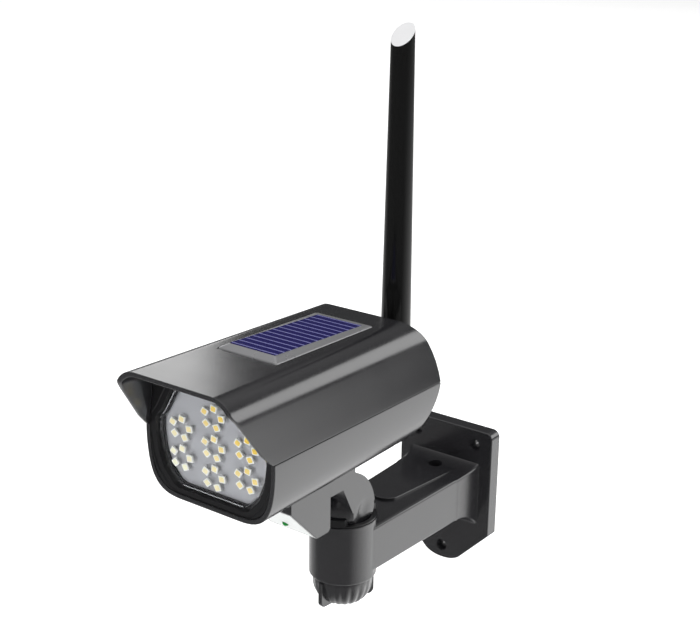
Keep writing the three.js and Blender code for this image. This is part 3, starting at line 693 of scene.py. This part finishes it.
for index, (x, z) in enumerate(group_places(), 1):
    led_group(index, x, z)


# ---- Solar panel -------------------------------------------------------------------------------
def solar_frame():
    """A sloped bezel, higher at the front, with the recess that the panel lies in."""
    low, high = span("solar_tray")
    rings = []
    # Inset from the tray's edge, then the height above the head's top in front and behind
    outside = ((0, -3.4, -3.4), (0, 0.2, 0.2), (4.4, 3, 0.7))
    recess = ((5, 1.6, -0.7), (5, 6, 3.7))
    for inset, front_up, rear_up in outside + recess:
        x, a, b = high.x - inset, low.y + inset, high.y - inset
        spots = ((-x, a, front_up), (x, a, front_up), (x, b, rear_up), (-x, b, rear_up))
        rings.append([(px, py, head_top(py) + up) for px, py, up in spots])
    count = len(outside)
    return cut(soften(loft(rings[:count]), 0.9, angle=12, segments=4), loft(rings[count:]))


piece(solar_frame(), "solar_bezel", "head", "solar_trim", ["solar_tray"], smooth=30)


# ---- Bracket -----------------------------------------------------------------------------------
def arc(cx, cy, r, start, end, steps):
    """Points along an arc between two angles in degrees."""
    angles = [math.radians(start + (end - start) * i / steps) for i in range(steps + 1)]
    return [(cx + r * math.cos(a), cy + r * math.sin(a)) for a in angles]


def plate_outline():
    """The wall plate: a shield with rounded top corners and a rounded point."""
    half, up, shoulder, slant_x, slant_z, bottom, corner = 37.5, 52.5, -24.5, 14.5, -48, -52.5, 5
    right = arc(half - corner, up - corner, corner, 90, 0, 10) + [(half, shoulder)]
    right += bezier((slant_x, slant_z), (slant_x - 5, bottom), (0, bottom), 0.667, 12)
    left = [(-x, z) for x, z in reversed(right)][1:]
    return right + left


def arm_section(y, half, up, down):
    """The arm's outline at y, with rounded edges."""
    edge = 2.0
    right = arc(half - edge, up - edge, edge, 90, 0, 5)
    right += arc(half - edge, down + edge, edge, 0, -90, 5)
    full = right + [(-x, z) for x, z in reversed(right)]
    return [(x, y, z) for x, z in full]


def bracket():
    """Wall plate, flared arm with its tongue, and the barrel that holds the ball."""
    thick, root_y, root_long, steps = 10, -34, 25, 14
    plate = soften(prism_y(plate_outline(), -thick, 0), 1.0, angle=50,
                   where=lambda p: p.y < -thick + 0.1)
    front_half, rear_half, arm_top, arm_bottom, flare, rise = 22.4, 25.6, 22.9, -7.9, 17, 1.2
    sections = [arm_section(PIVOT_Y, front_half - 0.9, arm_top, arm_bottom),
                arm_section(root_y, rear_half - 0.6, arm_top + rise, arm_bottom)]
    for i in range(1, steps + 1):
        t = i / steps
        swell = 1 - math.sqrt(1 - (0.95 * t) ** 2)
        sections.append(arm_section(root_y + root_long * t, rear_half + 5 * swell,
                                    arm_top + rise + 7 * swell, arm_bottom - flare * swell))
    arm = loft(sections)
    nose = arc(0, -80, 9.8, 180, 360, 24)
    tongue = prism_z(nose + [(16, -16), (-16, -16)], arm_top - 3, arm_top + rise + 1)
    soften(tongue, 0.5, where=lambda p: p.z > arm_top + 2)
    r, barrel_top, bottom, chamfer = 21.8, 27.8, -12.4, 1.4
    lower = arc(r - chamfer, bottom + chamfer, chamfer, -90, 0, 6)
    upper = arc(r - 0.6, barrel_top - 0.6, 0.6, 0, 90, 4)
    barrel = turned([(0, bottom)] + lower + upper + [(0, barrel_top)], steps=128)
    body = join(plate, arm, tongue, barrel)
    bore = turned(drum(20, -5.4, barrel_top + 5))
    nut_hole = turned(drum(7.5, bottom - 1, -5), steps=6)
    cable = turned(drum(4.8, -40, 60), 0, -22, 48)
    countersunk = [(0, 1), (2.6, 1), (2.6, -7), (4.2, -9.8), (4.2, -11), (0, -11)]
    holes = [rod_y(countersunk, x, z, 40) for x, z in ((23.8, 41.4), (-23.8, 41.4), (0, -42.8))]
    return cut(body, bore, nut_hole, cable, *holes)


piece(bracket(), "wall_bracket_moulding", "bracket", "shell", ["wall_bracket"])


# ---- Ball joint and knob -------------------------------------------------------------------------
BALL_R, CHEEK = 19.4, 16.2                # the ball, and the half width across its flats
WING_ANGLES = (-6, 144.5)                 # of the knob's two wings, in degrees


def sphere(r):
    """A ball round the tilt axis."""
    angles = [math.radians(a) for a in range(-90, 91, 3)]
    return turned([(r * math.cos(a), BALL_Z + r * math.sin(a)) for a in angles])


def ball_foot():
    """The ball with its flat cheeks and shallow dishes, and the curved neck up to the head."""
    neck_front, neck_rear, neck_bottom, step_y = -163.5, -137.5, 56.8, -149.2
    outline = [(neck_front, head_floor(neck_front) - GAP), (neck_front, neck_bottom),
               (step_y, neck_bottom), (PIVOT_Y - 11.8, BALL_Z + 2.1), (PIVOT_Y - 8, BALL_Z),
               (PIVOT_Y + 8, BALL_Z)]
    outline += arc(-148, 34, 32, 8, 70, 16) + [(neck_rear, head_floor(neck_rear) - GAP)]
    neck = soften(prism_x(outline, -CHEEK, CHEEK), 0.5, angle=20, where=lambda p: p.z > BALL_Z + 8)
    between = block((-CHEEK, PIVOT_Y - 30, 0), (CHEEK, PIVOT_Y + 30, 80))
    body = join(neck, common(sphere(BALL_R), between))
    depth, r = 1.2, 8.5
    dish = ((0, CHEEK - depth), (r * 0.55, CHEEK - depth * 0.7), (r, CHEEK), (r + 0.4, CHEEK + 1),
            (0, CHEEK + 1))
    for s in (-1, 1):
        cut(body, rod_x([(dish_r, s * x) for dish_r, x in dish], PIVOT_Y, BALL_Z))
    return body


def cradle():
    """The cup under the ball and its collar, notched on both sides for the cheeks."""
    r, bottom, collar_r, collar_top, ledge, notch = 19.7, 12.4, 21.2, 33.4, 28.1, 17.5
    body = turned([(0, bottom), (r, bottom), (r, ledge), (collar_r, ledge)]
                  + arc(collar_r - 0.8, collar_top - 0.8, 0.8, 0, 90, 5) + [(0, collar_top)])
    sides = [block((x0, PIVOT_Y - notch, ledge + 1), (x1, PIVOT_Y + notch, collar_top + 5))
             for x0, x1 in ((-30, -13.5), (13.5, 30))]
    return cut(body, sphere(BALL_R + GAP), turned(drum(6, 0, 40), steps=48), *sides)


def knob():
    """A fluted dome with two finger wings."""
    r, low_r, top_z, bottom, flutes = 19.4, 9.5, -12.8, -31.2, 20
    steps, depth, levels = 200, 0.9, 8
    quarter = [math.pi * t / levels / 2 for t in range(levels + 1)]
    rows = [(low_r + (r - low_r) * math.sin(a), bottom + (top_z - 4 - bottom) * (1 - math.cos(a)))
            for a in quarter]
    rows.append((r, top_z - 1.2))
    rings = []
    for k, (ring_r, z) in enumerate(rows):
        bite = depth * math.sin(math.pi * min(1, (k + 0.6) / (levels + 1))) ** 0.6
        ring = []
        for i in range(steps):
            a = 2 * math.pi * i / steps
            wave = abs(math.cos(flutes * a / 2)) ** 3
            rr = ring_r - bite * wave
            ring.append((rr * math.cos(a), PIVOT_Y + rr * math.sin(a), z))
        rings.append(ring)
    rings.append([(x, y, top_z) for x, y in circle(r - 0.6, steps, 0, PIVOT_Y)])
    body = loft(rings)
    wing, thick = 21, 3.2
    outline = [(-wing, top_z - 1)] + arc(-wing + 4, bottom + 3.6, 4, 180, 270, 8)
    outline += [(0, bottom - 0.4), (0, top_z - 1)]
    for angle in WING_ANGLES:
        plate = soften(prism_x(outline, -thick / 2, thick / 2), 0.6)
        join(body, turn(plate, Matrix.Rotation(math.radians(angle), 4, "Z"), (0, PIVOT_Y, 0)))
    return cut(body, turned(drum(4.3, -24.3, 0), steps=40))


piece(ball_foot(), "ball_foot_moulding", "head", "shell", ["ball_foot"])
piece(cradle(), "ball_cradle_moulding", "swivel", "black_trim", ["ball_cradle"])
piece(knob(), "lock_knob_moulding", "lock", "shell", ["lock_knob"])


# ---- Sensor pod --------------------------------------------------------------------------------
# Side view: front and rear, the slope from the chin down to the heel, and the keel below it
POD_HALF, POD_Y0, POD_Y1, CHIN, KEEL, HEEL, HEEL_CUT = 18, -201.5, -163.9, 60.8, 35.8, -177, 2
SLOPE = math.atan2(KEEL - CHIN, HEEL - POD_Y0)
SLOPE_LONG = math.hypot(HEEL - POD_Y0, KEEL - CHIN)
INDICATOR_AT = SLOPE_LONG * 0.68          # down the slope from the chin
POD_RIM, MOUTH_Y = 1.6, 1.2               # rim round the window: sides and foot, then the chin


def on_slope(obj):
    """Lays a piece drawn from the chin along +Y onto the pod's sloped face."""
    return turn(obj, Matrix.Rotation(SLOPE, 4, "X"), (0, POD_Y0, CHIN))


def pod():
    """The sensor's housing, open on its sloped face."""
    crown_front, crown_rear = head_floor(POD_Y0) - GAP, head_floor(POD_Y1) - GAP
    outline = [(POD_Y0, CHIN), (HEEL, KEEL), (POD_Y1 - HEEL_CUT, KEEL), (POD_Y1, KEEL + HEEL_CUT),
               (POD_Y1, crown_rear), (POD_Y0, crown_front)]
    body = soften(prism_x(outline, -POD_HALF, POD_HALF), 0.5, angle=20)
    half = POD_HALF - POD_RIM
    mouth = block((-half, MOUTH_Y, -4), (half, SLOPE_LONG - POD_RIM, 3))
    return cut(body, on_slope(mouth))


def window():
    """The pale pane in the pod's mouth, with a hole for the indicator."""
    x, y0, y1 = POD_HALF - POD_RIM - GAP, MOUTH_Y + GAP, SLOPE_LONG - POD_RIM - GAP
    pane = soften(block((-x, y0, -0.2), (x, y1, 1.6)), 0.3, segments=2)
    return on_slope(cut(pane, turned(drum(2.4, -5, 5), 0, INDICATOR_AT, 40)))


def indicator():
    """A small domed cap standing out of the window."""
    dome = [(0, -1.7), (0.8, -1.6), (1.4, -1.25), (1.85, -0.7), (2.1, 0), (2.1, 2.6), (0, 2.6)]
    return on_slope(turned(dome, 0, INDICATOR_AT, 40))


piece(pod(), "sensor_pod_moulding", "head", "shell", ["sensor_pod"])
piece(window(), "sensor_window_pane", "head", "window", ["sensor_window"])
piece(indicator(), "indicator_dome", "head", "indicator", ["indicator_lens"])


# ---- Screws and button ---------------------------------------------------------------------------
def cross_head(x, y, z0, z1, head_r, head_h, shank):
    """A screw with its head down and a cross recess in it."""
    crown = arc(head_r - 0.5, z0 + 0.5, 0.5, -90, 0, 4)
    stem = [(head_r, z0 + head_h), (shank, z0 + head_h), (shank, z1), (0, z1)]
    body = turned([(0, z0)] + crown + stem, x, y, 32)
    arm, width, deep = head_r * 0.6, 0.35, head_h * 0.6
    for a, b in ((arm, width), (width, arm)):
        cut(body, block((x - a, y - b, z0 - 1), (x + a, y + b, z0 + deep)))
    return body


def mode_button():
    """A dished rubber cap on a flange."""
    low, high = span("mode_button")
    r = 4
    cap = arc(r - 0.8, low.z + 0.8, 0.8, -90, 0, 5)
    dish = [(0, low.z + 0.5), (1.8, low.z + 0.3), (2.4, low.z)]
    flange = [(r, high.z - 1.3), (5.4, high.z - 1.3), (5.4, high.z), (0, high.z)]
    return turned(dish + cap + flange, *middle("mode_button"), 64)


for screw in SCREWS:
    low, high = span(screw)
    body = cross_head(*middle(screw), low.z, high.z, (high.x - low.x) / 2, 1.8, 1.1)
    piece(body, f"{screw}_cross", "head", "steel", [screw])
piece(mode_button(), "mode_button_cap", "button", "rubber", ["mode_button"])


# ---- Antenna -----------------------------------------------------------------------------------
TONGUE = 3.2                              # half width of the blade's lug in its fork


def blade():
    """A slightly flat, tapering rod cut off at a slant, with a lug for its hinge."""
    base_a, base_b, tip_a, tip_b = 10, 9, 7.4, 6.4
    z0, steps = HINGE_Z + 7.8, 72
    top_z = span("antenna_blade")[1].z
    length = top_z + 7 - z0
    rows = [(0, 0.86), (0.5, 0.94), (1.2, 0.985), (2, 1)]
    rings = [(z0 + dz, base_a * k, base_b * k) for dz, k in rows]
    for i in range(1, 9):
        t = i / 8
        rings.append((z0 + 2 + length * t, base_a + (tip_a - base_a) * t,
                      base_b + (tip_b - base_b) * t))
    angles = [2 * math.pi * i / steps for i in range(steps)]
    rod = loft([[(a * math.cos(turn_by), ANTENNA_Y + b * math.sin(turn_by), z)
                 for turn_by in angles] for z, a, b in rings])
    front, rear, slant_z = ANTENNA_Y - 30, ANTENNA_Y + 30, top_z - 6.5
    cut(rod, prism_x([(front, slant_z - 30), (rear, slant_z + 30), (rear, top_z + 60),
                      (front, top_z + 60)], -30, 30))
    soften(rod, 0.5, angle=50, where=lambda p: p.z > slant_z - 12)
    r = 6.4
    lug = soften(block((-TONGUE, ANTENNA_Y - r, HINGE_Z), (TONGUE, ANTENNA_Y + r, z0 + 1)), 0.4)
    join(lug, rod_x(drum(r, -TONGUE, TONGUE), ANTENNA_Y, HINGE_Z))
    return cut(join(rod, lug), rod_x(drum(2.2, -12, 12), ANTENNA_Y, HINGE_Z, 32))


def paint_tip_reflection(obj):
    """Gives the slanted end face a pale colour, a painted reflection of light on the glossy black tip."""
    obj.data.materials.append(TIP_PAINTED_REFLECTION)
    tall = span("antenna_blade")[1].z * MM
    for face in obj.data.polygons:
        if face.normal.z > 0.5 and face.normal.y < -0.5 and face.center.z > tall - 0.02:
            face.material_index = 1


def knuckle():
    """The fork that turns in the head's socket and carries the blade's pin."""
    y, r = ANTENNA_Y, 7.6
    hub = rod_y([(0, -87.9), (r - 0.5, -87.9), (r, -87.4), (r, y + 6.5), (r - 0.5, y + 7),
                 (0, y + 7)], 0, SOCKET_Z)
    neck = rod_y(drum(2.6, -97, -86), 0, SOCKET_Z, 32)
    cheeks = soften(block((-r, y - 7, SOCKET_Z), (r, y + 7, HINGE_Z)), 0.4)
    join(cheeks, rod_x([(0, -r), (6.5, -r), (7, 0.5 - r), (7, r - 0.5), (6.5, r), (0, r)], y,
                       HINGE_Z))
    slot_half = TONGUE + GAP
    cut(cheeks, block((-slot_half, y - 12, HINGE_Z - 8.4), (slot_half, y + 12, HINGE_Z + 12)))
    return cut(join(hub, cheeks, neck), rod_x(drum(2, -12, 12), y, HINGE_Z, 32))


antenna = piece(blade(), "antenna_blade_moulding", "antenna", "antenna", ["antenna_blade"])
# The pale end face is a painted reflection of light
paint_tip_reflection(antenna)
piece(knuckle(), "antenna_knuckle_moulding", "antenna_base", "antenna", ["antenna_knuckle"])
